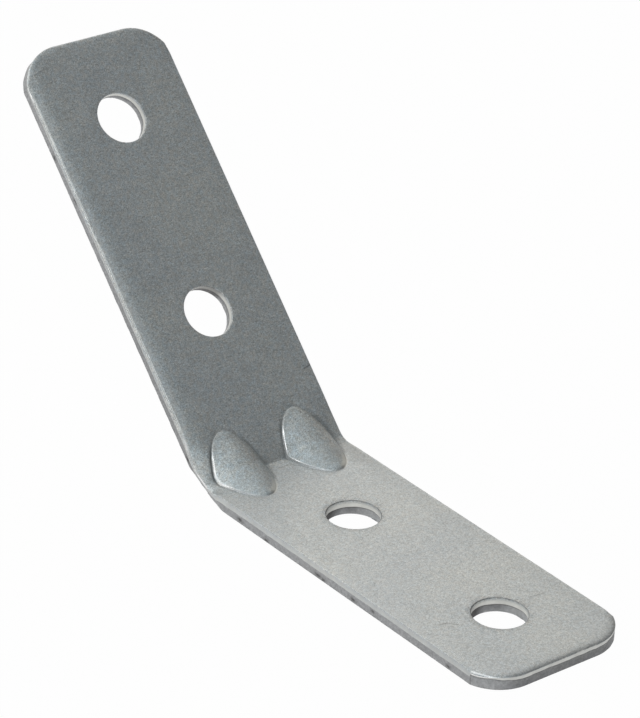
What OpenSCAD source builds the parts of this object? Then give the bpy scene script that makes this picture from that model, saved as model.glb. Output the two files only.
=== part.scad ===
// Angled strut connector: a flat steel strip, punched, folded once and stiffened by two pressed ribs.
// The short leg lies flat and the long leg rises from the fold.
// X runs across the strip, -Y along the short leg and +Z up from its seating face.
// The origin is on that face, midway between the short leg's two holes.

/* [Strip] */
// Width of the strip
strip_w = 40; // [38:1:60]
// Thickness of the sheet
sheet_t = 3.5; // [3:0.25:5]
// Length of the long leg, from the fold's inner corner to its end
long_leg = 109.8; // [104:0.1:180]
// Length of the short leg, from the fold's inner corner to its end
short_leg = 99.5; // [96:0.1:160]

/* [Fold] */
// Angle that the long leg rises from the line of the short leg
fold_angle = 45; // [30:1:60]
// Inside radius of the fold at the sides of the strip
fold_r = 5.5; // [3:0.25:7]
// Outside radius of the fold
fold_outer_r = 9; // [6:0.25:11]
// Radius of the crease across the middle of the fold
crease_r = 0.6; // [0.3:0.1:1.5]
// Distance that each side is drawn in on the outside of the fold
neck_in = 1.45; // [0.5:0.05:2.5]
// Radius of the drawn-in neck, seen square to the fold
neck_r = 50; // [30:1:90]

/* [Pressed ribs] */
// Radius of a rib across its back
rib_r = 8; // [7:0.25:9]
// Height of a rib's back above the fold's inner corner
rib_h = 4.2; // [3:0.1:5]
// Distance between the middles of the two ribs
rib_pitch = 20.4; // [18:0.1:22]
// Thickness of the sheet where it is pressed into a rib
rib_wall = 3; // [2:0.1:3.5]

/* [Bolt holes] */
// Diameter of a bolt hole at its burnished band
hole_d = 12.5; // [8:0.1:14]
// Distance between the two holes of a leg
hole_pitch = 50; // [40:1:55]
// Distance from a leg's outer hole to the leg's end
hole_end = 21; // [16:0.5:24]
// Width of the rounding where the punch drew in a hole's rim
hole_roll = 0.2; // [0.05:0.05:0.4]
// Distance that the torn part of a hole widens towards the outside
hole_flare = 0.2; // [0.05:0.05:0.4]

/* [Cropped ends] */
// Radius of the arcs at a leg's corners
corner_r = 11.2; // [10.8:0.1:14]
// Distance of the arcs' centres from the sides of the strip
corner_inset = 10.5; // [8:0.1:10.6]
// Distance over which cropping rolled an end's inner face down
end_roll_w = 2; // [1:0.1:2]
// Depth of that roll at the end's rim
end_roll_h = 0.4; // [0.35:0.05:0.6]

/* [Slit sides] */
// Rounding of the sides' inner edges
side_round = 0.6; // [0.1:0.05:0.8]
// Share of the thickness that was cut clean before the sheet tore
burnish_share = 0.45; // [0.3:0.05:0.6]

/* [Hidden] */
$fn = 96;
// Overlap of cutters with the faces that they open
eps = 0.01;
// Distance that blanks and cutters reach past what they shape
margin = 2 * sheet_t;
// Distance that a leg starts past the fold's outer corner
overlap = 0.5;
// Slight angle at which the fold's arcs run into the legs' faces
run_in = 4;
// Slight angle at which an end's roll leaves the inner face
roll_start = 2;
half_w = strip_w / 2;
hole_r = hole_d / 2;
half_fold = fold_angle / 2;
// Depth of the clean cut under the inner face, on the sides and in the holes
burnish_t = burnish_share * sheet_t;
// Distance from the fold's inner corner to the short leg's middle between its holes
short_middle = short_leg - hole_end - hole_pitch / 2;
// Height of the fold's inside arc over the inner corner, square to the fold
fold_rise = fold_r * (cos(run_in) / cos(half_fold) - 1);
neck_lean = atan(neck_in / sheet_t);
// Height of the cutters that draw the sides in, enough for the whole fold
neck_h = 3 * margin;
rib_axis_z = rib_h - rib_r;
groove_r = rib_r - rib_wall;
// Half of the sheet's thickness along the line that halves the fold
half_mitre = sheet_t / 2 / cos(half_fold);
// Length beyond which a rib's cylinder has left the sheet on both legs
rib_run = 2 * (rib_h + sheet_t / cos(half_fold)) / tan(half_fold) + margin;
// Depth to which the steel in the fold's inner corner reaches into the legs
sunk = sheet_t / 4;

// A leg's own frame: X across, Y from the fold's inner corner to the end, Z out of the inner face
module on_short_leg() {
    mirror([0, 1, 0])
        children();
}

module on_long_leg() {
    rotate([fold_angle, 0, 0])
        children();
}

// The fold's own frame: X across, Y along the ribs, Z square to the fold, from the inner corner
module on_fold() {
    rotate([half_fold, 0, 0])
        children();
}

// What rounding takes off the strip's right inner edge
module edge_round() {
    difference() {
        translate([half_w - side_round, -eps])
            square(side_round + eps);
        translate([half_w - side_round, side_round])
            circle(r = side_round);
    }
}

// The strip's section: X across, Y the depth below the inner face
module strip_section() {
    difference() {
        translate([-half_w, 0])
            square([strip_w, sheet_t]);
        edge_round();
        mirror([1, 0])
            edge_round();
    }
}

// Profile of a cropped end: X from the corner arcs' centres outwards, Y the height over the inner face
module end_profile(from_x) {
    chord = norm([end_roll_w, end_roll_h]);
    chord_angle = atan(end_roll_h / end_roll_w);
    radius = chord / 2 / sin(chord_angle - roll_start);
    difference() {
        translate([from_x, -margin])
            square([corner_r - from_x, margin + eps]);
        difference() {
            translate([corner_r - end_roll_w, -end_roll_h])
                square([end_roll_w + eps, end_roll_h + 2 * eps]);
            translate([corner_r - end_roll_w - radius * sin(roll_start), -radius * cos(roll_start)])
                circle(r = radius);
        }
    }
}

// The space that a leg of this length fills: a straight end between two arcs, its inner edge rounded
module cropped_space(leg) {
    centre_x = half_w - corner_inset;
    centre_y = leg - corner_r;
    translate([-half_w - eps, -margin, -margin])
        cube([strip_w + 2 * eps, centre_y + margin, margin + eps]);
    translate([-centre_x, centre_y, 0])
        rotate([90, 0, 90])
            linear_extrude(2 * centre_x)
                end_profile(-sheet_t);
    for (side = [-1, 1])
        translate([side * centre_x, centre_y, 0])
            rotate_extrude()
                end_profile(0);
}

// A leg starts inside the other one, past the fold's outer corner, and runs to its cropped end
module leg_plate(leg) {
    start = sheet_t * tan(half_fold) + overlap;
    intersection() {
        translate([0, -start, 0])
            rotate([-90, 0, 0])
                linear_extrude(leg + start + sheet_t)
                    strip_section();
        cropped_space(leg);
    }
}

// Steel that rounds the inner corner of the fold, from one x to another
module corner_fill(radius, from_x, to_x) {
    centre = radius * cos(run_in);
    foot = centre * tan(half_fold);
    translate([from_x, 0, 0])
        rotate([90, 0, 90])
            linear_extrude(to_x - from_x)
                difference() {
                    polygon([
                        [sunk * tan(half_fold), -sunk],
                        [
                            foot * cos(fold_angle) + sunk * sin(fold_angle),
                            foot * sin(fold_angle) - sunk * cos(fold_angle)
                        ],
                        [-foot, centre],
                        [-foot, -sunk]
                    ]);
                    translate([-foot, centre])
                        circle(r = radius);
                }
}

// What rounding takes off the outer corner of the fold
module outer_corner_cut() {
    centre = fold_outer_r * cos(run_in) - sheet_t;
    foot = centre * tan(half_fold);
    far = 2 * fold_outer_r;
    translate([-strip_w, 0, 0])
        rotate([90, 0, 90])
            linear_extrude(2 * strip_w)
                difference() {
                    polygon([
                        [-foot, centre],
                        [-foot, centre - far],
                        [-foot + far * tan(half_fold), centre - far],
                        [-foot + far * sin(fold_angle), centre - far * cos(fold_angle)]
                    ]);
                    translate([-foot, centre])
                        circle(r = fold_outer_r);
                }
}

// A rib is a round back that bridges the fold, rooted halfway through the sheet of both legs
module rib(x) {
    root_y = (rib_h + half_mitre) / tan(half_fold) + margin;
    root_z = root_y * tan(half_fold) - half_mitre;
    on_fold()
        intersection() {
            translate([x, 0, rib_axis_z])
                rotate([90, 0, 0])
                    cylinder(r = rib_r, h = rib_run, center = true);
            translate([x - rib_r - margin, 0, 0])
                rotate([90, 0, 90])
                    linear_extrude(2 * (rib_r + margin))
                        polygon([[0, -half_mitre], [root_y, root_z], [-root_y, root_z]]);
        }
}

// The groove that the press punch leaves behind a rib
module rib_groove(x) {
    on_fold()
        translate([x, 0, rib_axis_z])
            rotate([90, 0, 0])
                cylinder(r = groove_r, h = rib_run, center = true);
}

// The strip narrows towards the outside of the fold, where the steel was stretched
module neck_cut() {
    on_fold()
        translate([half_w, 0, fold_rise])
            rotate([0, neck_lean, 0])
                translate([neck_r, 0, 0])
                    cylinder(r = neck_r, h = neck_h, center = true);
}

// The torn wall of a hole widens below its burnished band, and its rim is rounded on the inner face
module bolt_hole() {
    translate([0, 0, -margin])
        cylinder(r = hole_r, h = 2 * margin);
    translate([0, 0, -hole_roll])
        cylinder(r1 = hole_r, r2 = hole_r + hole_roll + eps, h = hole_roll + eps);
    translate([0, 0, -sheet_t - eps])
        cylinder(r1 = hole_r + hole_flare, r2 = hole_r, h = sheet_t - burnish_t + eps);
}

module leg_holes(leg) {
    for (back = [hole_end, hole_end + hole_pitch])
        translate([0, leg - back, 0])
            bolt_hole();
}

module angled_strap() {
    rib_places = [-rib_pitch / 2, rib_pitch / 2];
    color([0.68, 0.69, 0.69])
        translate([0, short_middle, sheet_t])
            difference() {
                union() {
                    on_short_leg()
                        leg_plate(short_leg);
                    on_long_leg()
                        leg_plate(long_leg);
                    corner_fill(crease_r, -rib_pitch / 2, rib_pitch / 2);
                    corner_fill(fold_r, rib_pitch / 2, half_w - side_round / 2);
                    corner_fill(fold_r, -half_w + side_round / 2, -rib_pitch / 2);
                    for (x = rib_places)
                        rib(x);
                }
                for (x = rib_places)
                    rib_groove(x);
                outer_corner_cut();
                neck_cut();
                mirror([1, 0, 0])
                    neck_cut();
                on_short_leg()
                    leg_holes(short_leg);
                on_long_leg()
                    leg_holes(long_leg);
            }
}

angled_strap();
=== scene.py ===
import math

import bpy
import numpy as np
from mathutils import Matrix, Vector
from mathutils.geometry import delaunay_2d_cdt


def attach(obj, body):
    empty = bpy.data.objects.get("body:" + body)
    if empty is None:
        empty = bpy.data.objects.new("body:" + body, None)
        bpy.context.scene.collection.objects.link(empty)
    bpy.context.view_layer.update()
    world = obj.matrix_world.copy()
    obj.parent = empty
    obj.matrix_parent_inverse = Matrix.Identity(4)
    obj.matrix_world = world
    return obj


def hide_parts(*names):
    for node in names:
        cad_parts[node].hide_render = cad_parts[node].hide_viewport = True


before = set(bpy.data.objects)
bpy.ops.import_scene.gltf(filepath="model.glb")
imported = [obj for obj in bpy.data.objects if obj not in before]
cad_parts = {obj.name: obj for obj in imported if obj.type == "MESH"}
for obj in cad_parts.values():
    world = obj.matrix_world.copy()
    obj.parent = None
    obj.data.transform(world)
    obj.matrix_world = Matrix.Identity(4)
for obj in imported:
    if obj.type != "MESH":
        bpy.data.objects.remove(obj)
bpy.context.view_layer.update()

# Sizes in millimetres, as in the part's source
# A leg is named 1 (long) or -1 (short), and a side 1 (right) or -1 (left)
STRIP_W = 40.0
SHEET_T = 3.5
# Length of each leg from the fold's inner corner
LEG_END = {1: 109.8, -1: 99.5}
FOLD_R = 5.5
OUTER_R = 9.0
CREASE_R = 0.6
NECK_IN = 1.45
NECK_R = 50.0
RUN_IN = math.radians(4)
RIB_R = 8.0
RIB_H = 4.2
RIB_X = 10.2
GROOVE_R = 5.0
HOLE_R = 6.25
HOLE_END = 21.0
HOLE_PITCH = 50.0
END_ROLL = 0.4
# Depth of the clean cut under the inner face
BURNISH = 1.575
# Place of the fold's inner corner in the row's frame
ORIGIN = np.array([0.0, LEG_END[-1] - HOLE_END - HOLE_PITCH / 2, SHEET_T])
MM = 0.001

HALF_W = STRIP_W / 2
HALF_FOLD = math.radians(22.5)
SN, CS, TN = math.sin(HALF_FOLD), math.cos(HALF_FOLD), math.tan(HALF_FOLD)
RIB_AXIS_Z = RIB_H - RIB_R
FOLD_RISE = FOLD_R * (math.cos(RUN_IN) / CS - 1)
NECK_LEAN = math.atan(NECK_IN / SHEET_T)

# What wear and the tools add to those forms
# Inset and radius of each corner's arc, by leg and side
CORNERS = {(1, 1): (9.65, 10.85), (1, -1): (10.7, 11.15), (-1, 1): (10.25, 11.4), (-1, -1): (9.6, 10.1)}
# Width of an end's roll, and its depth as a share of the source's, by leg
ROLL_W = 3.0
ROLL_SHARE = {1: 0.98, -1: 1.0}
# Width of the sharp drop at an end's very edge
ROLL_LIP = 0.35
# Distance over which an end's roll fades into a side
ROLL_FADE = 3.0
# Height of the steep step at a rib's foot, and the rise over which the step is made
RIB_STEP = 0.24
RIB_EDGE = 0.12
# Blends of ribs and legs, of grooves and legs, and of the drawn-in sides
RIB_FILLET = 0.1
GROOVE_FILLET = 0.7
NECK_BLEND = 0.3
# Depth and width of the shallow moat round a rib, and the rise over which it ends
RIB_MOAT = 0.1
MOAT_W = 0.6
MOAT_EDGE = 0.1
# Distance from the strip's middle line beyond which the mesh follows the drawn-in sides
NECK_REACH = 13.0
# Distance on both sides of a rib's middle over which the tight crease opens into the fold's radius
CREASE_FADE = 2.0
# Drawn-in rim of a hole
HOLE_RIM = 0.2
# How far a hole's torn wall has widened at its foot, by leg
HOLE_FLARE = {1: 0.3, -1: 0.05}
# How far the long leg's inner hole and the short leg's outer hole lie from their places, along the leg
HOLE_SHIFT = {(1, 1): -0.2, (-1, 0): 0.2}
# Rounding of the ends' rims, and what is added to it where a corner's arc meets the side, by side
EDGE_BREAK = 0.05
KINK_BREAK = {1: 0.1, -1: 0.35}
# Width and depth of the rounding of the sides' inner edges, by side
SHOULDER = {1: (0.08, 0.12), -1: (0.42, 0.9)}
# Share of the left side's rounding that the short leg has
SHORT_SHOULDER = 0.2
# How far the margins sag on the long leg, on the short leg and at the fold, by side
SAG = {1: (0.0, 0.0, 0.12), -1: (0.5, 0.12, 1.0)}
# Width of the sagging margin on the legs and at the fold
SAG_W = 4.0
FOLD_SAG_W = 4.5
# Distance on both sides of the fold over which one leg's sag turns into the other's
LEG_SAG_FADE = 8.0
# Distances along the legs between which the fold's sag starts and is full, on the long and the short leg
FOLD_SAG_LONG = (13.0, 6.0)
FOLD_SAG_SHORT = (-5.5, -1.0)
# How far the clean band and, by leg, the torn part of the cut edge lie behind the rim
CLEAN_IN = 0.005
TORN_IN = {1: 0.17, -1: 0.02}
# Least height of the clean band
CLEAN_LEAST = 0.12
# Small chips in the left cut edge: distance along the leg, depth, half length
CHIPS = [(84.5, 2.7, 0.8), (73.1, 1.9, 0.7), (7.9, 2.6, 0.8), (-12.8, 2.5, 0.9), (-22.4, 3.1, 0.8),
         (-41.0, 2.7, 1.0), (-43.0, 3.0, 0.6), (-53.3, 2.7, 0.8), (-60.1, 2.2, 0.5), (-85.4, 2.8, 0.6)]
CHIP_HALF_H = 0.4
# Nicks in the rounding of the long leg's left edge, by distance from the fold: bright ones with a painted
# glint, and dark ones
BRIGHT_NICKS = (68.3, 65.4, 63.6, 59.1, 55.2, 53.4, 33.0)
DARK_NICKS = (66.3, 64.4, 62.2)
NICK_HALF = 0.45
# The rim's ring beyond which a dark nick shows
NICK_RING = 12
# Scratches on the inner face: two ends in the row's millimetres, half width, strength
SCRATCHES = [
    ((-14.0, -21.5, 3.5), (-12.1, -21.8, 3.5), 0.25, 0.6),
    ((-12.1, -21.8, 3.5), (-10.6, -23.7, 3.5), 0.25, 0.6),
    ((9.8, -23.9, 3.5), (13.6, -24.5, 3.5), 0.22, 0.6),
    ((10.6, -22.2, 3.5), (13.0, -23.0, 3.5), 0.2, 0.5),
    ((-16.8, 127.2, 77.2), (-14.7, 127.6, 77.6), 0.25, 0.3),
    ((-14.7, 127.6, 77.6), (-12.8, 127.8, 77.8), 0.25, 0.3),
    ((-1.1, 51.0, 3.5), (1.5, 50.9, 3.5), 0.28, 0.45),
    ((1.5, 50.9, 3.5), (3.6, 49.3, 3.5), 0.28, 0.45),
    ((17.9, 66.7, 16.7), (19.8, 67.0, 17.0), 0.3, 0.8),
    ((-18.9, -23.0, 3.5), (-17.7, -23.3, 3.5), 0.22, 0.5),
]

# How fine the mesh is
CORNER_POINTS = 44
END_POINTS = 46
SIDE_FINE = 0.25
SIDE_COARSE = 0.6
KINK_POINTS = 12
# Distance from the fold to which the inner and the outer face have a fine grid
FOLD_REACH = 14.0
OUTER_FOLD_REACH = 16.0
# Distance from the fold within which the outer face's points move outwards
OUTER_SHIFT_W = 4.0
# Rings of the rim from the wall to the inner face, and how many of them round an end's very edge
RINGS = 17
BREAK_RINGS = 5
# Shares of the clean band's and the torn band's height at which the cut edge has a row of points
CLEAN_ROWS = (0.25, 0.6, 1.0)
TORN_ROWS = (0.05, 0.15, 0.3, 0.45, 0.6, 0.75, 0.88, 0.97)
HOLE_POINTS = 144
HOLE_CLEAN_ROWS = (0.5, 1.0)
HOLE_TORN_ROWS = (0.06, 0.18, 0.3, 0.45, 0.6, 0.78, 0.95)
# Painted shade on the rings of a short leg's hole rim, where the rolled rim turns away from the light, from
# the inner face down
HOLE_RIM_SHADE = (0.3, 0.9, 1.0, 0.8, 0.3, 0.0)
# Half width and steps of the fine grids, and those of the coarse one on the flat legs
GRID_X = 19.25
GRID_STEP = 0.3
TOP_GRID_STEP = 0.25
FLAT_X = 18.9
FLAT_STEP_X = 1.8
FLAT_STEP_Y = 1.7
# Distances from a rib's outline of the lines of points along its foot
FOOT_LINES = (-0.7, -0.5, -0.34, -0.22, -0.12, -0.04, 0.04, 0.12, 0.2, 0.3, 0.42, 0.58, 0.8)
# Least distance between the grid's points and those of the rim and the holes
RIM_CLEAR = 0.22
HOLE_CLEAR = 0.5
SHARP_ANGLE = math.radians(38)
# Height of the finish's bumps
BUMP_H = 0.04

# Values kept at the mesh's points, each of which tells the material how strongly to show one thing:
# rim is worn plate at the very edge, lip a dark line on the rolled rims of the short leg's end and holes:
# painted shade, on the end partly dirt, clean and torn the two bands of the cut edge, clean also painted
# light on some rims and on the inner face, the seam value painted shade under the clean band's step and
# along the lower edge, low the depth in the sheet, the polish value a painted highlight with the lower
# roughness and more metal of polished steel, crease and nook the narrow and the wide painted shade at the
# ribs, pale lighter torn steel, mostly painted light where the walls face the light, grit the plate's grain,
# rib a painted bluish light on the ribs' left halves and the long leg's left margin, and the chip value
# black marks in the cut edge and its rim, and painted shade in the holes and below a kink
ZONES = ("rim", "lip", "clean", "torn", "seam", "low", "polish", "crease", "nook", "pale", "grit", "rib",
         "chip")


def smoothstep(v):
    v = np.clip(v, 0.0, 1.0)
    return v * v * (3 - 2 * v)


def fade(v, start, full):
    """0 on the near side of the start, 1 on the far side of the full value, smooth between them."""
    return smoothstep((v - start) / (full - start))


def hump(v, middle, width):
    """1 at the middle, falling off smoothly to both sides."""
    return np.exp(-((v - middle) / width) ** 2)


def smooth_max(a, b, k):
    return np.maximum(a, b) + np.maximum(k - np.abs(a - b), 0.0) ** 2 / (4 * k)


class Ripple:
    """Smooth random values along a line, the same on every run."""

    SPAN = 400.0
    SPARE = 8

    def __init__(self, seed, step):
        self.step = step
        count = int(self.SPAN / step) + self.SPARE
        self.values = np.random.default_rng(seed).uniform(-1.0, 1.0, count)

    def __call__(self, at):
        p = (np.asarray(at, float) + self.SPAN / 2) / self.step
        i = np.floor(p).astype(int)
        f = smoothstep(p - i)
        n = len(self.values)
        return self.values[i % n] * (1 - f) + self.values[(i + 1) % n] * f


LOW_RIPPLE = Ripple(3, 6.0)
MID_RIPPLE = Ripple(5, 1.7)
FINE_RIPPLE = Ripple(8, 0.5)


# The fold's own frame: X across the strip, Y along the ribs, Z square to the fold, from its inner corner
def fold_curve(y, radius):
    """Height of two planes that meet at the fold, rounded with this radius."""
    near = np.abs(y) < radius * SN
    arc = radius / CS - np.sqrt(np.maximum(radius ** 2 - y ** 2, 0.0))
    return np.where(near, arc, np.abs(y) * TN)


def round_backs(x, radius):
    """Height of the nearer of two cylinders' backs along Y at the ribs, falling steeply beside them."""
    dx = np.abs(np.abs(x) - RIB_X)
    inside = np.maximum(radius ** 2 - dx ** 2, 0.0)
    steepness = 20.0
    return RIB_AXIS_Z + np.sqrt(inside) - steepness * np.maximum(dx - radius, 0.0)


def leg_height(x, y):
    """Height of the legs' inner faces and the fold, without the ribs."""
    opened = fade(np.abs(x), RIB_X - CREASE_FADE, RIB_X + CREASE_FADE)
    return fold_curve(y, CREASE_R + (FOLD_R - CREASE_R) * opened)


def sag(x, y):
    """How far the strip's margins lie below its middle."""
    s, out = y / CS, np.abs(x)
    long_leg, short_leg, fold = (np.where(x > 0, right, left) for right, left in zip(SAG[1], SAG[-1]))
    leg = short_leg + (long_leg - short_leg) * fade(s, -LEG_SAG_FADE, LEG_SAG_FADE)
    at_fold = fold * fade(s, *FOLD_SAG_LONG) * fade(s, *FOLD_SAG_SHORT)
    leg_margin = np.clip((out - HALF_W) / SAG_W + 1, 0, 1) ** 2
    fold_margin = np.clip((out - HALF_W) / FOLD_SAG_W + 1, 0, 1) ** 1.6
    return leg * leg_margin + at_fold * fold_margin


def inner_height(x, y):
    """The inner face. The ribs rise steeply just inside their outline, softer at the upper ends
    and at the lower right."""
    ground = leg_height(x, y)
    over = round_backs(x, RIB_R) - ground
    rise = smooth_max(over, 0.0, RIB_FILLET)
    crisp = 1 - 0.85 * fade(y, -3.5, -7.5) * fade(x - RIB_X * np.sign(x), 0.5, 3.5)
    step = RIB_STEP * (1 - 0.9 * fade(y, 3.0, 7.0)) * crisp
    moat = RIB_MOAT * crisp * hump(np.minimum(over, 0.0), 0.0, MOAT_W) * np.exp(-rise / MOAT_EDGE)
    return ground + rise + step * (1 - np.exp(-rise / RIB_EDGE) - rise / RIB_H) - moat - sag(x, y)


def outer_height(x, y):
    """The outer face, with the two grooves behind the ribs."""
    return smooth_max(fold_curve(y, OUTER_R) - SHEET_T / CS, round_backs(x, GROOVE_R), GROOVE_FILLET)


def rib_distance(x, y):
    """Distance from the nearer rib's outline, above zero inside it."""
    def over(px, py):
        return round_backs(px, RIB_R) - leg_height(px, py)

    step, least_slope = 0.01, 0.2
    slope_x = (over(x + step, y) - over(x - step, y)) / (2 * step)
    slope_y = (over(x, y + step) - over(x, y - step)) / (2 * step)
    return over(x, y) / np.maximum(np.hypot(slope_x, slope_y), least_slope)


def surface_grit(x, y):
    """Strength of the zinc's grain: more on the ribs, less on the short leg."""
    return 1 - 0.25 * fade(y, 0.0, -4.0) + 0.1 * fade(rib_distance(x, y), 0.0, 0.4)


def to_outer_y(y):
    """The outer face's Y under an inner face's Y: the same at the fold, square to the leg beyond it."""
    return y + SHEET_T * SN * np.tanh(y / OUTER_SHIFT_W)


def draw_in(p):
    """Narrows the strip towards the outside of the fold."""
    x, y, z = p[:, 0], p[:, 1], p[:, 2]
    limit = HALF_W - (FOLD_RISE - z) * math.tan(NECK_LEAN) + y ** 2 / (2 * NECK_R * math.cos(NECK_LEAN))
    pull = np.maximum(smooth_max(HALF_W - limit, 0.0, NECK_BLEND) - NECK_BLEND / 4, 0.0)
    out = p.copy()
    out[:, 0] = x - np.sign(x) * pull * fade(np.abs(x), NECK_REACH, HALF_W)
    return out


def place(x, y, depth):
    """Points in the fold's frame from X, the inner face's Y and the depth under the inner face."""
    x, y, depth = np.broadcast_arrays(np.asarray(x, float), np.asarray(y, float), np.asarray(depth, float))
    share = (depth / SHEET_T)[:, None]
    top = np.stack([x, y, inner_height(x, y)], 1)
    yo = to_outer_y(y)
    bottom = np.stack([x, yo, outer_height(x, yo)], 1)
    return draw_in(top * (1 - share) + bottom * share)


def to_row(p):
    """From the fold's frame in millimetres to the row's frame in metres."""
    q = np.stack([p[:, 0], p[:, 1] * CS - p[:, 2] * SN, p[:, 1] * SN + p[:, 2] * CS], 1)
    return (q + ORIGIN) * MM


class Mesh:
    """Points with their zones, faces, and pairs of points whose edges are to be sharp."""

    def __init__(self):
        self.points, self.faces, self.zones, self.creases = [], [], [], []
        self.count = 0

    def add(self, p, **zones):
        first = self.count
        self.points.append(np.asarray(p, float))
        self.zones.append((len(p), zones))
        self.count += len(p)
        return np.arange(first, self.count)

    def strip(self, rows):
        """Quads between neighbouring closed rows of points."""
        for a, b in zip(rows[:-1], rows[1:]):
            q = np.stack([a, np.roll(a, -1), np.roll(b, -1), b], 1)
            self.faces.extend(q.tolist())

    def attribute(self, name):
        return np.concatenate([np.broadcast_to(z.get(name, 0.0), (n,)) for n, z in self.zones])


# The strip's outline is in leg coordinates (x, s): s is the distance from the fold, below zero on the short
# leg. A run is its points, the directions that they face, the weight of the cropped end's shape, and the
# share of the way round a corner: 0 on an end's straight part, 1 at the kink, -1 on a side
def kink_at(leg, side):
    """Distance from the fold at which a corner's arc meets the strip's side."""
    inset, radius = CORNERS[leg, side]
    return LEG_END[leg] - radius + math.sqrt(radius ** 2 - inset ** 2)


def corner_run(leg, side):
    """From the end's straight part to the side."""
    inset, radius = CORNERS[leg, side]
    share = np.linspace(0.0, 1.0, CORNER_POINTS)
    turn = math.pi / 2 - share * (math.pi / 2 - math.acos(inset / radius))
    x = side * (HALF_W - inset + radius * np.cos(turn))
    s = leg * (LEG_END[leg] - radius + radius * np.sin(turn))
    facing = np.stack([side * np.cos(turn), leg * np.sin(turn)], 1)
    return np.stack([x, s], 1), facing, np.ones(len(x)), share


def end_run(leg):
    """The end's straight part, from right to left."""
    x = np.linspace(HALF_W - CORNERS[leg, 1][0], CORNERS[leg, -1][0] - HALF_W, END_POINTS)[1:-1]
    facing = np.tile([0.0, float(leg)], (len(x), 1))
    return np.stack([x, np.full_like(x, leg * LEG_END[leg])], 1), facing, np.ones(len(x)), np.zeros(len(x))


def side_run(side):
    """A side from the short leg to the long leg: fine at the fold and the kinks, coarse on the flat legs."""
    low, high = -kink_at(-1, side), kink_at(1, side)
    fine = np.arange(-FOLD_REACH, FOLD_REACH + 0.01, SIDE_FINE)
    near = SIDE_FINE * np.arange(1, KINK_POINTS + 1)
    lower = np.arange(low + near[-1] + SIDE_COARSE, fine[0] - SIDE_COARSE / 2, SIDE_COARSE)
    upper = np.arange(fine[-1] + SIDE_COARSE, high - near[-1] - SIDE_COARSE / 2, SIDE_COARSE)
    s = np.concatenate([low + near, lower, fine, upper, (high - near)[::-1]])
    weight = fade(np.minimum(s - low, high - s), ROLL_FADE, 0.0)
    facing = np.tile([float(side), 0.0], (len(s), 1))
    return np.stack([np.full_like(s, side * HALF_W), s], 1), facing, weight, -np.ones(len(s))


def smooth_directions(along, facing):
    """Directions that turn steadily, also where the outline has a kink. The first and last few are held."""
    angle = np.unwrap(np.arctan2(facing[:, 1], facing[:, 0]))
    step, reach, held = 0.05, 2.0, 8
    at = np.arange(-reach, along[-1] + reach, step)
    window = np.hanning(int(2 * reach / step) + 1)
    smooth = np.convolve(np.interp(at, along, angle), window / window.sum(), "same")
    turned = np.interp(along, at, smooth)
    turned[:held], turned[-held:] = angle[0], angle[-1]
    return np.stack([np.cos(turned), np.sin(turned)], 1)


class Outline:
    """Points all round the strip, from the fold's right end by way of the long leg."""

    def __init__(self):
        def back(run):
            return tuple(part[::-1] for part in run)

        runs = [side_run(1), back(corner_run(1, 1)), end_run(1), corner_run(1, -1), back(side_run(-1)),
                back(corner_run(-1, -1)), back(end_run(-1)), corner_run(-1, 1)]
        parts = [np.concatenate([run[i] for run in runs]) for i in range(4)]
        start = int(np.argmin(np.hypot(parts[0][:, 0] - HALF_W, parts[0][:, 1])))
        self.edge, facing, self.weight, self.share = (np.roll(part, -start, 0) for part in parts)
        steps = np.linalg.norm(np.diff(self.edge, axis=0), axis=1)
        self.along = np.concatenate([[0.0], np.cumsum(steps)])
        self.inward = -smooth_directions(self.along, facing)
        self.s = self.edge[:, 1]
        self.short = self.s < 0
        self.on_end = (self.share >= 0).astype(float)
        self.on_right = fade(self.edge[:, 0], -5.0, 5.0)
        self.on_left = 1 - self.on_right
        self.left_side = self.on_left * (1 - self.on_end)

    def by_side(self, left, right):
        return left * self.on_left + right * self.on_right

    def points(self, distance, depth):
        """Points this far in from the outline and this deep under the inner face."""
        p = self.edge + self.inward * np.broadcast_to(distance, (len(self.edge),))[:, None]
        return place(p[:, 0], p[:, 1] * CS, depth)


def end_roll(distance, leg):
    """Depth below the inner face at a distance from a cropped end."""
    lip = np.exp(-distance / ROLL_LIP)
    slope = np.maximum(1 - distance / ROLL_W, 0.0) ** 2
    return END_ROLL * np.where(leg > 0, ROLL_SHARE[1], ROLL_SHARE[-1]) * (lip + slope) / 2


def rim_shape(line):
    """Distance in from the outline and depth of every ring of the rim, from the wall to the inner face."""
    softer = 1 - (1 - SHORT_SHOULDER) * fade(line.s, 0.0, -6.0) * line.on_left
    wide, deep = (line.by_side(SHOULDER[-1][i], SHOULDER[1][i]) * softer for i in (0, 1))
    broken = EDGE_BREAK + line.by_side(KINK_BREAK[-1], KINK_BREAK[1]) * fade(line.share, 0.4, 0.9)
    shape = []
    for k in range(RINGS):
        turn = math.pi / 2 * k / (RINGS - 1)
        side = (wide * (1 - math.cos(turn)), deep * (1 - math.sin(turn)))
        if k <= BREAK_RINGS:
            turn = math.pi / 2 * k / BREAK_RINGS
            distance, drop = broken * (1 - math.cos(turn)), broken * (1 - math.sin(turn))
        else:
            far = ((k - BREAK_RINGS) / (RINGS - 1 - BREAK_RINGS)) ** 1.5
            distance, drop = broken + (ROLL_W - broken) * far, 0.0
        end = (distance, end_roll(distance, line.s) + drop)
        shape.append(tuple(side[i] * (1 - line.weight) + end[i] * line.weight for i in (0, 1)))
    return shape


def nicks(line, places):
    """Short marks across the left side's rim."""
    return line.on_left * np.sum([hump(line.s, at, NICK_HALF) for at in places], axis=0)


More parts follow.
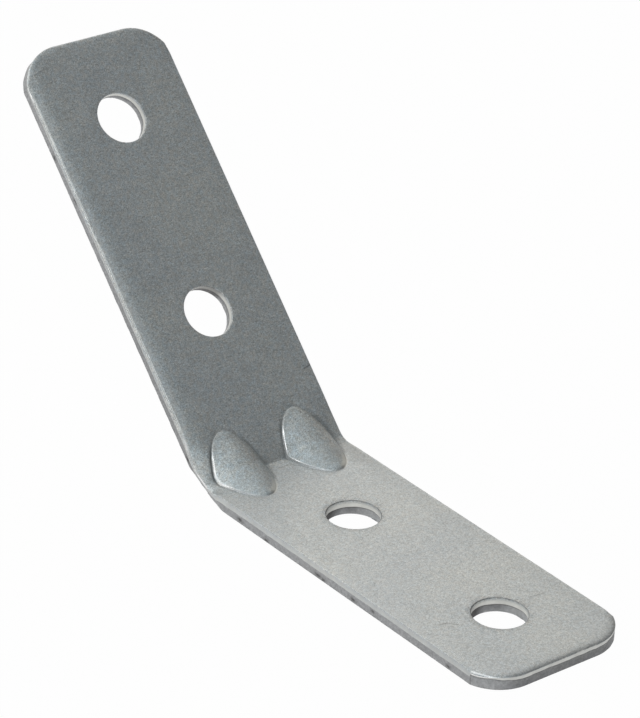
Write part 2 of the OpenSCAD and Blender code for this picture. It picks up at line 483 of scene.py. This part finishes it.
def add_rim(mesh, line, shape):
    """The rounded rim, with painted highlights at the left kinks, beside the fold and along the long leg."""
    below_kink = kink_at(1, -1) - line.s
    # Painted highlights at the left kinks, beside the fold, along the long leg's left rim and on its bright
    # nicks
    kink_shine = line.on_left * line.on_end * line.short * fade(line.share, 0.45, 0.75)
    kink_shine += line.left_side * fade(below_kink, 0.0, 0.4) * fade(below_kink, 3.8, 2.3)
    fold_shine = line.left_side * (1.4 * hump(line.s, 2.5, 2.5) + 0.8 * hump(line.s, 10.5, 2.0))
    on_long = line.left_side * fade(line.s, 12.0, 16.0) * fade(below_kink, 2.5, 4.0)
    long_shine = on_long * (0.6 + 0.25 * LOW_RIPPLE(line.along) + 0.15 * MID_RIPPLE(line.along))
    bright, dark = nicks(line, BRIGHT_NICKS), nicks(line, DARK_NICKS)
    # Painted light on the right rim beside the fold, and painted shade along the short leg's end
    edge_light = 0.4 * line.on_right * (1 - line.on_end) * hump(line.s, 4.3, 3.2)
    crisp = line.on_end * line.short * (1 - line.on_left * fade(line.share, 0.2, 0.5))
    grit = surface_grit(line.edge[:, 0], line.s * CS)
    rings = []
    for k, (distance, depth) in enumerate(shape):
        up = k / (RINGS - 1)
        polish = kink_shine * (k <= BREAK_RINGS) + fold_shine * hump(up, 0.5, 0.25)
        polish = polish + long_shine * hump(up, 0.7, 0.15) + 1.2 * bright * hump(up, 0.68, 0.25)
        polish = polish + 0.12 * on_long * fade(up, 0.6, 0.8)
        # Painted light on the long leg's left rounding
        clean = 0.5 * on_long * hump(up, 0.65, 0.25) + edge_light
        lip = 0.5 * crisp * hump(distance, 0.0, 0.8)
        rim, chip = np.exp(-distance / 0.2), dark * (NICK_RING < k < RINGS - 1)
        p = line.points(distance, depth)
        rings.append(mesh.add(p, rim=rim, lip=lip, polish=polish, grit=grit, clean=clean, chip=chip))
    mesh.strip(rings[::-1])
    return rings


def chipped(line, depth):
    """Chips in the left cut edge at this depth, and painted shade in a line below the short leg's left kink.
    """
    marks = [hump(line.s, at, half) * hump(depth, deep, CHIP_HALF_H) for at, deep, half in CHIPS]
    kink_shade = 0.5 * (line.share == 1.0) * line.short
    return line.on_left * np.clip((1 - line.on_end) * np.sum(marks, axis=0) + kink_shade, 0.0, 1.0)


def clean_height(line, rim_depth):
    """Depth at which the cut edge's clean band ends and the torn one begins."""
    side = BURNISH + 0.2 - line.on_left * (0.3 + 0.2 * fade(line.s, 6.0, 12.0))
    side = side + 0.08 * LOW_RIPPLE(line.along) + 0.05 * MID_RIPPLE(line.along)
    end = SHEET_T * (0.37 - 0.2 * smoothstep(line.share * 1.2))
    end = end + 0.07 * MID_RIPPLE(line.along) + 0.05 * FINE_RIPPLE(line.along)
    return np.maximum(side * (1 - line.on_end) + end * line.on_end, rim_depth + CLEAN_LEAST)


def add_cut_edge(mesh, line, top_ring, rim_depth):
    """The wall all round: a clean band, a torn one below it and a lower edge darkened with painted shade."""
    clean = clean_height(line, rim_depth)
    # Painted light on the left walls and at the left corners, which face the light
    end_painted_light = np.where(line.short, 1.0, 0.6) * fade(line.share, 0.1, 0.6)
    side_painted_light = 0.8 - 0.3 * fade(line.s, 0.0, 4.0) * fade(line.s, 70.0, 40.0)
    pale = line.on_left * np.where(line.on_end > 0, end_painted_light, side_painted_light)
    torn_in = np.where(line.s > 0, TORN_IN[1], TORN_IN[-1])
    rows = [top_ring]
    for part in CLEAN_ROWS:
        depth = rim_depth + (clean - rim_depth) * part
        shown = 0.15 + 0.3 * part * line.on_left + 0.6 * line.on_end * (1 - 0.3 * part * line.on_left)
        p = line.points(CLEAN_IN, depth)
        rows.append(mesh.add(p, clean=shown, low=depth / SHEET_T, pale=pale, chip=chipped(line, depth)))
    for part in TORN_ROWS:
        depth = clean + (SHEET_T - clean) * part
        rough = 0.035 * FINE_RIPPLE(line.along * 1.3 + 31 * part) + 0.03 * MID_RIPPLE(line.along + 17 * part)
        distance = np.maximum(torn_in + rough, 0.0) * min(part / 0.15, 1.0)
        # Painted shade under the clean band's step on the ends, and along the lower edge
        seam = line.on_end * (0.7 if part < 0.1 else 0.0) + (0.6 if part > 0.95 else 0.0)
        p = line.points(distance, depth)
        low, chip = depth / SHEET_T, chipped(line, depth)
        rows.append(mesh.add(p, torn=1.0, seam=seam, low=low, pale=pale, chip=chip))
    rows.append(mesh.add(line.points(torn_in + 0.06, SHEET_T), torn=0.8, low=1.0, seam=0.9))
    mesh.strip(rows)
    for column in np.nonzero(line.share == 1.0)[0]:
        mesh.creases.extend((a[column], b[column]) for a, b in zip(rows[:-1], rows[1:]))
    return rows[-1]


def hole_places():
    """Each hole's place along the strip and its leg: the short leg's outer and inner one come first."""
    return [(leg * (LEG_END[leg] - HOLE_END - row * HOLE_PITCH + HOLE_SHIFT.get((leg, row), 0.0)), leg)
            for leg in (-1, 1) for row in (0, 1)]


def add_hole(mesh, number, centre, leg):
    """A hole's drawn-in rim and wall, with painted shade on the wall's dark side and on the short leg's
    rims, and painted light on the lit side of the short leg's holes.
    """
    short = leg < 0
    turn = np.linspace(0, 2 * math.pi, HOLE_POINTS, endpoint=False)
    circle = np.stack([np.cos(turn), np.sin(turn)], 1)

    def points(radius, depth):
        p = circle * np.broadcast_to(radius, (len(turn),))[:, None] + np.array([0.0, centre])
        return place(p[:, 0], p[:, 1] * CS, depth)

    def facing(degrees, start, full):
        return fade(np.cos(turn - math.radians(degrees)), start, full)

    # Painted shade on the side of the wall away from the light, and painted light where the wall faces the
    # light
    shaded = facing(150, 0.3, 0.8) * short + 0.8 * facing(68, 0.65, 0.9) * (number == 3)
    lit = facing(-20, 0.3, 0.9) * short
    rows = []
    for k, dark in enumerate(HOLE_RIM_SHADE):
        lean = math.pi / 2 * k / (len(HOLE_RIM_SHADE) - 1)
        p = points(HOLE_R + HOLE_RIM * (1 - math.sin(lean)), HOLE_RIM * (1 - math.cos(lean)))
        rows.append(mesh.add(p, lip=dark * short, grit=1.0, chip=0.7 * shaded * (not short) * (k > 2)))
    arc_at = turn * HOLE_R + 90 * number
    clean = BURNISH + 0.12 * Ripple(20 + number, 3.0)(arc_at)
    for part in HOLE_CLEAN_ROWS:
        p = points(HOLE_R, HOLE_RIM + (clean - HOLE_RIM) * part)
        rows.append(mesh.add(p, clean=1.0, chip=(0.25 if short else 0.8) * shaded))
    for part in HOLE_TORN_ROWS:
        rough = 0.04 * FINE_RIPPLE(arc_at + 37 * part) + 0.03 * MID_RIPPLE(arc_at + 13 * part)
        radius = HOLE_R + (0.03 + 0.7 * HOLE_FLARE[leg] * part + rough) * min(part / 0.18, 1.0)
        p = points(radius, clean + (SHEET_T - clean) * part)
        # Painted light on the lit side and lighter towards the wall's foot; painted shade under the clean
        # band's step
        pale = np.minimum((0.8 if short else 1.5) * part + 0.8 * lit, 1.0)
        seam = float(part < 0.1)
        rows.append(mesh.add(p, torn=1 - 0.35 * lit, seam=seam, low=1.0, chip=0.9 * shaded, pale=pale))
    rows.append(mesh.add(points(HOLE_R + HOLE_FLARE[leg], SHEET_T), torn=0.5, low=1.0))
    mesh.strip(rows)
    return rows[0], rows[-1]


def rib_outline_band():
    """Points along the ribs' feet, where the inner face bends sharply."""
    widest, count = 61.5, 121
    lean = np.radians(np.linspace(-widest, widest, count))
    bands = []
    for side in (-1, 1):
        for leg in (-1, 1):
            x = side * RIB_X + RIB_R * np.sin(lean)
            y = leg * (RIB_AXIS_Z + RIB_R * np.cos(lean)) / TN
            inward = np.stack([-np.tan(lean), np.full_like(lean, -TN * leg)], 1)
            inward /= np.linalg.norm(inward, axis=1)[:, None]
            bands.extend(np.stack([x, y], 1) + away * inward for away in FOOT_LINES)
    return np.concatenate(bands)


def top_fold_grid():
    """The inner face's points round the fold, with more of them in the crease and along the ribs' feet."""
    xs = np.arange(-GRID_X, GRID_X + 0.05, TOP_GRID_STEP)
    ys = np.arange(-FOLD_REACH, FOLD_REACH + 0.01, GRID_STEP)
    ys = np.unique(np.concatenate([ys, np.linspace(-0.24, 0.24, 9)]))
    grid = np.stack(np.meshgrid(xs, ys), -1).reshape(-1, 2)
    away = rib_distance(grid[:, 0], grid[:, 1])
    outside, inside, cell = -0.75, 0.85, 0.06
    grid = np.concatenate([grid[(away < outside) | (away > inside)], rib_outline_band()])
    return grid[np.unique(np.round(grid / cell).astype(int), axis=0, return_index=True)[1]]


def bottom_fold_grid():
    """The outer face's points round the fold, with more of them along the grooves' edges."""
    near = np.concatenate([np.arange(4.0, 5.4, 0.1), np.arange(-5.3, -3.95, 0.1)])
    even = np.arange(-GRID_X, GRID_X + 0.05, GRID_STEP)
    xs = np.concatenate([even, near - RIB_X, near + RIB_X])
    xs = np.unique(np.round(xs, 3))
    xs = xs[np.concatenate([[True], np.diff(xs) > 0.05])]
    ys = np.arange(-OUTER_FOLD_REACH, OUTER_FOLD_REACH + 0.01, GRID_STEP)
    return np.stack(np.meshgrid(xs, ys), -1).reshape(-1, 2)


def flat_grid(fold_y):
    """Points of a face on the flat legs, beyond this distance from the fold."""
    xs = np.arange(-FLAT_X, FLAT_X + 0.1, FLAT_STEP_X)
    low = np.arange(-LEG_END[-1] * CS, -fold_y - 0.6, FLAT_STEP_Y)
    high = np.arange(fold_y + 1.0, LEG_END[1] * CS + 3.0, FLAT_STEP_Y)
    return np.stack(np.meshgrid(xs, np.concatenate([low, high])), -1).reshape(-1, 2)


def ring_test(points, loop):
    """Whether each point lies inside a closed loop, and its distance from the loop's nearest point."""
    a, b = loop, np.roll(loop, -1, 0)
    d = b - a
    slope = d[:, 0] / np.where(np.abs(d[:, 1]) < 1e-12, 1e-12, d[:, 1])
    inside, gap = np.zeros(len(points), bool), np.zeros(len(points))
    batch = 4000
    for start in range(0, len(points), batch):
        g = points[start:start + batch]
        over = a[None, :, 1] > g[:, None, 1]
        under = b[None, :, 1] > g[:, None, 1]
        left = g[:, None, 0] < a[None, :, 0] + (g[:, None, 1] - a[None, :, 1]) * slope[None]
        inside[start:start + batch] = ((over != under) & left).sum(1) % 2 == 1
        gap[start:start + batch] = np.linalg.norm(g[:, None] - a[None], axis=2).min(1)
    return inside, gap


def inner_highlight(x, y, away, to_left):
    """Painted highlights: the bright line along the ribs' left feet, and a soft shine on the long leg's
    left margin.
    """
    foot = np.where(y > 0, 3.2, 2.3)
    line = hump(away, 0.14, 0.11) * fade(to_left, foot, foot + 2.3) * (1 - 0.8 * fade(y, 4.0, 8.0))
    strength = np.where(x > 0, 1.8, 1 - 0.35 * hump(y, -0.5, 2.0))
    margin = 0.2 * fade(x, -17.6, -18.9) * fade(y, 8.0, 14.0)
    return np.maximum(np.minimum(strength * line, 1.2), margin)


def inner_crease(x, y, away, to_left):
    """The narrow shade outside the ribs' feet, wider in the trough right of the right rib."""
    shade = 1 - 0.7 * fade(y, 0.0, -3.0) * fade(to_left, 0.0, 4.0)
    shade *= 1 - 0.9 * fade(y, -4.0, -7.0)
    shade *= 1 - 0.8 * fade(y, 5.0, 9.0) * (1 - fade(np.abs(to_left), 3.5, 6.0))
    shade *= 1 + 0.5 * fade(to_left, 0.0, 4.0) * fade(y, -1.0, 1.0) * (x < 0)
    trough = fade(to_left, 0.0, -3.0) * fade(y, 0.0, 2.0) * fade(x, 18.2, 16.7) * (x > 0)
    start = -0.75 - 0.25 * trough
    return fade(away, start, start + 0.4) * fade(away, 0.0, -0.15) * shade * (1 - 0.15 * trough)


def inner_nook(x, y, away, to_left):
    """The wide shade: above the crease, on the ribs' upper left flanks and at the fold's right end."""
    middle = hump(x, -1.0, 7.0) * fade(y, 0.1, 0.7) * np.exp(-np.maximum(y, 0.0) / 5.0)
    tip = fade(away, 0.0, 0.4) * fade(y, 1.0, 7.0) * fade(to_left, -1.0, 3.0)
    flank = fade(away, 0.0, 0.3) * fade(away, 1.9, 0.7) * fade(y, 3.0, 6.0) * fade(to_left, -1.0, 2.0)
    right = fade(x, 14.0, 18.0) * fade(y, 0.0, -1.5) * (0.25 + 0.75 * hump(y, -5.0, 7.0))
    return np.maximum(middle, np.maximum(0.45 * tip + 0.6 * flank, right))


def inner_wear(x, y):
    """The inner face's zones."""
    away = rib_distance(x, y)
    to_left = RIB_X * np.sign(x) - x
    # Painted light on the ribs' lower right ends and on the right margin beside the fold
    lower = fade(away, -0.4, 0.0) * fade(away, 1.6, 0.7) * fade(y, -4.0, -7.0) * fade(to_left, 0.5, -2.0)
    edge_light = fade(x, 17.8, 19.2) * hump(y, 4.0, 3.0)
    # Painted bluish light on the ribs' left halves and on the long leg's left margin
    rib = fade(away, 0.0, 0.4) * fade(to_left, -4.0, 0.0)
    left_margin = fade(x, -11.0, -18.0) * fade(y, 0.0, 10.0)
    return {
        "polish": inner_highlight(x, y, away, to_left),
        "crease": inner_crease(x, y, away, to_left),
        "nook": inner_nook(x, y, away, to_left),
        "clean": np.maximum(0.75 * lower, 0.35 * edge_light),
        "rib": np.maximum(rib, 0.6 * left_margin),
        "grit": surface_grit(x, y),
    }


def fill_face(mesh, loops, holes, widened, top):
    """Triangles between a face's outer loop and its holes, conforming to their points."""
    points = np.concatenate(mesh.points)
    flat = [points[loop][:, :2] for loop in loops]
    outer = flat[0]
    shift = 0.0 if top else SHEET_T * SN

    def hole_gap(p):
        return np.min([np.hypot(p[:, 0], (p[:, 1] - leg * shift) / CS - centre) - HOLE_R - widened[leg]
                       for centre, leg in holes], axis=0)

    fold_grid, fold_y = (top_fold_grid(), FOLD_REACH) if top else (bottom_fold_grid(), OUTER_FOLD_REACH)
    grid = np.concatenate([fold_grid, flat_grid(fold_y)])
    inside, gap = ring_test(grid, outer)
    grid = grid[inside & (gap > RIM_CLEAR) & (hole_gap(grid) > HOLE_CLEAR)]
    x, y = grid[:, 0], grid[:, 1]
    if top:
        p = np.stack([x, y, inner_height(x, y)], 1)
        fresh = mesh.add(p, **inner_wear(x, y))
    else:
        p = draw_in(np.stack([x, y, outer_height(x, y)], 1))
        fresh = mesh.add(p, grit=1.0)
    index = np.concatenate(loops + [fresh])
    domain = np.concatenate(flat + [p[:, :2]])
    edges, first = [], 0
    for ring in flat:
        n = len(ring)
        edges += [(first + i, first + (i + 1) % n) for i in range(n)]
        first += n
    merge_distance = 1e-7
    out = delaunay_2d_cdt([tuple(q) for q in domain.tolist()], edges, [], 0, merge_distance)
    origin = [o[0] if o else -1 for o in out[3]]
    tri = np.array([[origin[i] for i in t] for t in out[2]])
    middle = domain[tri].mean(1)
    keep = (hole_gap(middle) > -0.1) & ring_test(middle, outer)[0]
    tri = index[tri[keep]]
    mesh.faces.extend((tri if top else tri[:, ::-1]).tolist())


def build_strap():
    mesh, line = Mesh(), Outline()
    shape = rim_shape(line)
    rings = add_rim(mesh, line, shape)
    lower_edge = add_cut_edge(mesh, line, rings[0], shape[0][1])
    holes = hole_places()
    top_loops, bottom_loops = [rings[-1]], [lower_edge]
    for number, (centre, leg) in enumerate(holes):
        rim, foot = add_hole(mesh, number, centre, leg)
        top_loops.append(rim)
        bottom_loops.append(foot)
    fill_face(mesh, top_loops, holes, {1: HOLE_RIM, -1: HOLE_RIM}, top=True)
    fill_face(mesh, bottom_loops, holes, HOLE_FLARE, top=False)
    return mesh


def mark_creases(data, creases):
    """Makes the edges between these pairs of points sharp, besides those that are so already."""
    def keys(pairs):
        pairs = np.sort(pairs, axis=1).astype(np.int64)
        return pairs[:, 0] * len(data.vertices) + pairs[:, 1]

    ends = np.zeros(2 * len(data.edges), np.int32)
    data.edges.foreach_get("vertices", ends)
    layer = data.attributes["sharp_edge"]
    sharp = np.zeros(len(data.edges), bool)
    layer.data.foreach_get("value", sharp)
    layer.data.foreach_set("value", sharp | np.isin(keys(ends.reshape(-1, 2)), keys(np.array(creases))))


def strap_object(mesh):
    data = bpy.data.meshes.new("angled_strap_surface")
    data.from_pydata(to_row(np.concatenate(mesh.points)).tolist(), [], mesh.faces)
    data.validate()
    data.update()
    for name in ZONES:
        layer = data.attributes.new(name, "FLOAT", "POINT")
        layer.data.foreach_set("value", mesh.attribute(name).astype(np.float32))
    data.shade_smooth()
    data.set_sharp_from_angle(angle=SHARP_ANGLE)
    mark_creases(data, mesh.creases)
    strap = bpy.data.objects.new("angled_strap_surface", data)
    bpy.context.scene.collection.objects.link(strap)
    return strap


strap = strap_object(build_strap())
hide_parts("angled_strap")
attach(strap, "root")


class Shader:
    """Short ways to add and link the nodes of one material or world."""

    def __init__(self, tree):
        self.nodes, self.links = tree.nodes, tree.links
        self.nodes.clear()

    def put(self, socket, value):
        if isinstance(value, bpy.types.NodeSocket):
            self.links.new(value, socket)
        elif isinstance(value, tuple) and len(socket.default_value) == 4:
            socket.default_value = (*value, 1.0)
        else:
            socket.default_value = value

    def node(self, kind, inputs=None, **settings):
        node = self.nodes.new(kind)
        for name, value in settings.items():
            setattr(node, name, value)
        for name, value in (inputs or {}).items():
            self.put(node.inputs[name], value)
        return node

    def math(self, kind, a, b):
        return self.node("ShaderNodeMath", {0: a, 1: b}, operation=kind).outputs[0]

    def vector(self, kind, output, inputs):
        return self.node("ShaderNodeVectorMath", inputs, operation=kind).outputs[output]

    def ramp(self, value, low, high, to_low=0.0, to_high=1.0):
        inputs = {"Value": value, "From Min": low, "From Max": high, "To Min": to_low, "To Max": to_high}
        return self.node("ShaderNodeMapRange", inputs).outputs["Result"]

    def mix(self, factor, a, b, blend="MIX"):
        inputs = {0: factor, 6: a, 7: b}
        return self.node("ShaderNodeMix", inputs, data_type="RGBA", blend_type=blend).outputs[2]

    def times(self, a, b):
        return self.mix(1.0, a, b, "MULTIPLY")

    def cover(self, colour, zone, strength, over):
        """The colour with another one over it, as far as a zone reaches and at most this strong."""
        return self.mix(self.math("MULTIPLY", zone, strength), colour, over)

    def noise(self, at, scale, detail=2.0, rough=0.5, distortion=0.0):
        inputs = {"Vector": at, "Scale": scale, "Detail": detail, "Roughness": rough}
        inputs["Distortion"] = distortion
        return self.node("ShaderNodeTexNoise", inputs).outputs["Fac"]

    def attribute(self, name):
        return self.node("ShaderNodeAttribute", attribute_name=name).outputs["Fac"]


# Zinc plate: one procedural material, in which the mesh's zones mark the cut edges and the ribs' feet
def plate_colour(s, at, zone, grains):
    """The plate itself: slow changes of grey, two hues of crystals, sparkling grain and a few hair lines."""
    colour = s.mix(s.ramp(grains["cloud"], 0.35, 0.65), (0.508, 0.535, 0.548), (0.548, 0.566, 0.562))
    # Painted bluish light on the ribs' left halves and on the long leg's left margin
    colour = s.cover(colour, zone["rib"], 0.6, (0.505, 0.56, 0.58))
    colour = s.times(colour, s.ramp(grains["mottle"], 0.3, 0.7, 0.95, 1.05))
    hue = s.mix(s.ramp(s.noise(at, 900.0, 3.0), 0.35, 0.65), (0.96, 1.0, 1.035), (1.04, 1.0, 0.965))
    colour = s.mix(s.ramp(zone["grit"], 0.75, 1.0, 0.5, 1.0), colour, s.times(colour, hue))
    coarse = s.ramp(grains["grain"], 0.3, 0.7, -0.13, 0.13)
    speckle = s.math("ADD", coarse, s.ramp(grains["fine"], 0.25, 0.75, -0.4, 0.4))
    speckle = s.math("ADD", s.math("MULTIPLY", speckle, zone["grit"]), 1.0)
    colour = s.times(colour, speckle)
    colour = s.mix(s.ramp(s.noise(at, 2600.0, 1.0), 0.62, 0.75, 0.0, 0.5), colour, (0.8, 0.82, 0.82))
    hair = s.math("ABSOLUTE", s.math("SUBTRACT", s.noise(at, 450.0, 2.0, 0.5, 0.8), 0.5), 0.0)
    hair = s.math("MULTIPLY", s.ramp(hair, 0.015, 0.0), s.ramp(s.noise(at, 260.0), 0.48, 0.56))
    return s.cover(colour, hair, 0.35, (0.3, 0.32, 0.33))


def scratched(s, at, colour):
    """The colour with the scratches drawn over it."""
    for start, end, half, strength in SCRATCHES:
        start, end = Vector(start) * MM, Vector(end) * MM
        run = (end - start).normalized()
        away = s.vector("SUBTRACT", 0, {0: at, 1: tuple(start)})
        along = s.vector("DOT_PRODUCT", "Value", {0: away, 1: tuple(run)})
        along = s.math("MINIMUM", s.math("MAXIMUM", along, 0.0), (end - start).length)
        nearest = s.vector("SCALE", 0, {0: tuple(run), "Scale": along})
        gap = s.vector("DISTANCE", "Value", {0: away, 1: nearest})
        colour = s.mix(s.ramp(gap, half * MM, 0.0, 0.0, strength), colour, (0.16, 0.16, 0.16))
    return colour


def cut_colours(s, at, zone, grains):
    """The steel of the clean band and of the torn one; the torn one has painted shade towards the outer
    face.
    """
    clean = s.times((0.76, 0.76, 0.72), s.ramp(grains["mottle"], 0.35, 0.65, 0.9, 1.1))
    torn = s.mix(s.ramp(zone["low"], 0.4, 1.0), (0.25, 0.25, 0.25), (0.22, 0.22, 0.23))
    # Lighter torn steel, mostly painted light on the walls that face the light
    torn = s.mix(zone["pale"], torn, (0.42, 0.42, 0.43))
    return clean, s.times(torn, s.ramp(s.noise(at, 1300.0, 2.0, 0.7), 0.3, 0.7, 0.75, 1.25))


def surface_colour(s, at, zone, grains):
    """The plate with its scratches, painted shade and painted highlights, then the cut edges with their
    painted shade and black marks, then worn spots along the rim.
    """
    colour = scratched(s, at, plate_colour(s, at, zone, grains))
    # Painted shade in the creases and hollows at the ribs and on the rolled rims, then painted highlights
    colour = s.cover(colour, zone["crease"], 0.6, (0.14, 0.15, 0.15))
    colour = s.cover(colour, zone["nook"], 0.32, (0.2, 0.2, 0.2))
    colour = s.cover(colour, zone["lip"], 0.8, (0.14, 0.14, 0.14))
    colour = s.cover(colour, zone["polish"], 0.8, (0.92, 0.92, 0.92))
    clean, torn = cut_colours(s, at, zone, grains)
    colour = s.cover(colour, zone["clean"], 0.9, clean)
    colour = s.cover(colour, zone["torn"], 0.85, torn)
    # Painted shade under the torn band's step and along the lower edge, then black marks and painted shade
    # in the holes
    colour = s.cover(colour, zone["seam"], 0.7, (0.1, 0.095, 0.09))
    colour = s.cover(colour, zone["chip"], 0.95, (0.04, 0.037, 0.034))
    spots = s.ramp(s.noise(at, 900.0, 2.0, 0.7), 0.56, 0.62)
    wear = s.math("MULTIPLY", spots, s.ramp(grains["cloud"], 0.5, 0.6))
    return s.cover(colour, s.math("MULTIPLY", wear, zone["rim"]), 0.6, (0.9, 0.9, 0.88))


def surface_bump(s, at, zone, grains):
    """Fine grain on the plate, and a rougher one on the torn band."""
    height = s.math("ADD", s.math("MULTIPLY", grains["grain"], 0.5), s.math("MULTIPLY", grains["fine"], 0.5))
    height = s.math("ADD", height, s.math("MULTIPLY", zone["torn"], s.noise(at, 900.0, 2.0)))
    inputs = {"Strength": 0.5, "Distance": BUMP_H * MM, "Height": height}
    return s.node("ShaderNodeBump", inputs).outputs["Normal"]


def surface_roughness(s, zone, grains):
    rough = s.ramp(grains["mottle"], 0.3, 0.7, 0.42, 0.54)
    rough = s.math("ADD", rough, s.math("MULTIPLY", zone["torn"], 0.12))
    rough = s.math("SUBTRACT", rough, s.math("MULTIPLY", zone["clean"], 0.12))
    return s.math("SUBTRACT", rough, s.math("MULTIPLY", zone["polish"], 0.25))


def zinc_material():
    material = bpy.data.materials.new("zinc_plate")
    material.use_nodes = True
    s = Shader(material.node_tree)
    at = s.node("ShaderNodeTexCoord").outputs["Object"]
    zone = {name: s.attribute(name) for name in ZONES}
    grains = {
        "cloud": s.noise(at, 45.0, 3.0),
        "mottle": s.noise(at, 350.0, 3.0),
        "grain": s.noise(at, 1500.0, 1.0),
        "fine": s.noise(at, 3800.0, 1.0),
    }
    shader = s.node("ShaderNodeBsdfPrincipled", {
        "Base Color": surface_colour(s, at, zone, grains),
        "Roughness": surface_roughness(s, zone, grains),
        "Metallic": s.ramp(zone["polish"], 0.0, 1.0, 0.55, 0.95),
        "Normal": surface_bump(s, at, zone, grains),
    })
    s.node("ShaderNodeOutputMaterial", {"Surface": shader.outputs["BSDF"]})
    return material


strap.data.materials.append(zinc_material())


# Camera of the photograph: its place in millimetres, its focal length in pixels, and its angles:
# heading from +Y towards +X, pitch below the horizon, roll of the picture's right side upwards
CAMERA_AT = Vector((-462.116, -515.002, 420.637))
CAMERA_HEADING = math.radians(39.801048)
CAMERA_PITCH = math.radians(28.012506)
CAMERA_ROLL = math.radians(2.976919)
FOCAL_PX = 3666.612
IMAGE_H = 718.0
SENSOR = 36.0


def add_camera():
    data = bpy.data.cameras.new("camera")
    data.sensor_width = SENSOR
    data.lens = FOCAL_PX * SENSOR / IMAGE_H
    data.clip_start = 0.01
    data.clip_end = 20.0
    camera = bpy.data.objects.new("camera", data)
    turn = Matrix.Rotation(-CAMERA_HEADING, 4, "Z") @ Matrix.Rotation(math.pi / 2 - CAMERA_PITCH, 4, "X")
    camera.matrix_world = Matrix.Translation(CAMERA_AT * MM) @ turn @ Matrix.Rotation(CAMERA_ROLL, 4, "Z")
    bpy.context.scene.collection.objects.link(camera)
    bpy.context.scene.camera = camera


# Lamps round the target: name, direction, distance, size in metres, power in watts, colour
TARGET = Vector((0.0, 0.045, 0.03))
LAMPS = (
    ("back_left", (-0.45, 0.75, 0.5), 1.2, (1.0, 1.0), 4.31, (0.956, 0.995, 1.0)),
    ("back_right", (0.3, 0.75, 0.6), 1.2, (1.0, 1.0), 3.54, (1.0, 0.965, 0.925)),
    ("front", (-0.5, -0.8, 0.4), 1.2, (1.0, 1.0), 4.17, (0.981, 1.0, 0.989)),
    ("right", (0.9, 0.3, 0.3), 1.2, (0.8, 0.8), 0.64, (1.0, 0.938, 0.856)),
    ("left", (-0.89, 0.38, 0.3), 1.0, (0.25, 0.5), 1.2, (1.0, 1.0, 1.0)),
)


def add_lamp(name, toward, away, size, power, colour):
    light = bpy.data.lights.new(name, "AREA")
    light.shape = "RECTANGLE"
    light.size, light.size_y = size
    light.energy = power
    light.color = colour
    lamp = bpy.data.objects.new(name, light)
    direction = Vector(toward).normalized()
    lamp.location = TARGET + direction * away
    lamp.rotation_euler = (-direction).to_track_quat("-Z", "Y").to_euler()
    bpy.context.scene.collection.objects.link(lamp)


FLOOR_HALF = 6.0
FLOOR_DROP = 0.0002
WHITE = (1.0, 1.0, 1.0)
BLACK = (0.0, 0.0, 0.0)


def floor_material():
    """White to the camera and in the part's reflections, with a trace of shadow, and pale to other rays."""
    material = bpy.data.materials.new("floor")
    material.use_nodes = True
    s = Shader(material.node_tree)
    path = s.node("ShaderNodeLightPath")
    seen = s.math("MAXIMUM", path.outputs["Is Camera Ray"], path.outputs["Is Glossy Ray"])
    seen = s.math("MULTIPLY", s.math("MAXIMUM", seen, path.outputs["Is Transmission Ray"]), 0.985)
    pale = s.node("ShaderNodeBsdfDiffuse", {"Color": (0.9, 0.9, 0.9)}).outputs[0]
    white = s.node("ShaderNodeEmission", {"Color": WHITE}).outputs[0]
    surface = s.node("ShaderNodeMixShader", {0: seen, 1: pale, 2: white})
    s.node("ShaderNodeOutputMaterial", {"Surface": surface.outputs[0]})
    return material


def floor_object():
    data = bpy.data.meshes.new("floor")
    corners = [(x * FLOOR_HALF, y * FLOOR_HALF, 0.0) for x, y in ((-1, -1), (1, -1), (1, 1), (-1, 1))]
    data.from_pydata(corners, [], [(0, 1, 2, 3)])
    data.materials.append(floor_material())
    floor = bpy.data.objects.new("floor", data)
    floor.location.z = -FLOOR_DROP
    bpy.context.scene.collection.objects.link(floor)
    return floor


# What the metal mirrors: direction, where the glow starts and is full, its strength by colour
GLOWS = (
    ((0.0, 0.0, 1.0), 0.3, 1.0, (0.439, 0.446, 0.447)),
    ((0.0, 1.0, 0.0), -0.2, 0.8, (0.584, 0.564, 0.516)),
    ((-0.5, -0.3, 0.8), 0.2, 1.0, (0.390, 0.440, 0.463)),
)


def add_world():
    """White to the camera, glows to the metal, dark to all other rays."""
    world = bpy.data.worlds.new("world")
    bpy.context.scene.world = world
    world.use_nodes = True
    s = Shader(world.node_tree)
    path = s.node("ShaderNodeLightPath")
    way = s.node("ShaderNodeTexCoord").outputs["Generated"]
    mirrored = BLACK
    for toward, start, full, strength in GLOWS:
        facing = s.vector("DOT_PRODUCT", "Value", {0: way, 1: tuple(Vector(toward).normalized())})
        mirrored = s.mix(s.ramp(facing, start, full), mirrored, s.mix(1.0, mirrored, strength, "ADD"))
    mirrored = s.mix(path.outputs["Is Glossy Ray"], BLACK, mirrored)
    seen = s.math("MAXIMUM", path.outputs["Is Camera Ray"], path.outputs["Is Transmission Ray"])
    backdrop = s.mix(seen, mirrored, WHITE)
    light = s.node("ShaderNodeBackground", {"Color": backdrop, "Strength": 1.0}).outputs[0]
    s.node("ShaderNodeOutputWorld", {"Surface": light})


add_camera()
for lamp in LAMPS:
    add_lamp(*lamp)
floor = floor_object()
add_world()

bpy.context.scene.view_settings.view_transform = "Standard"
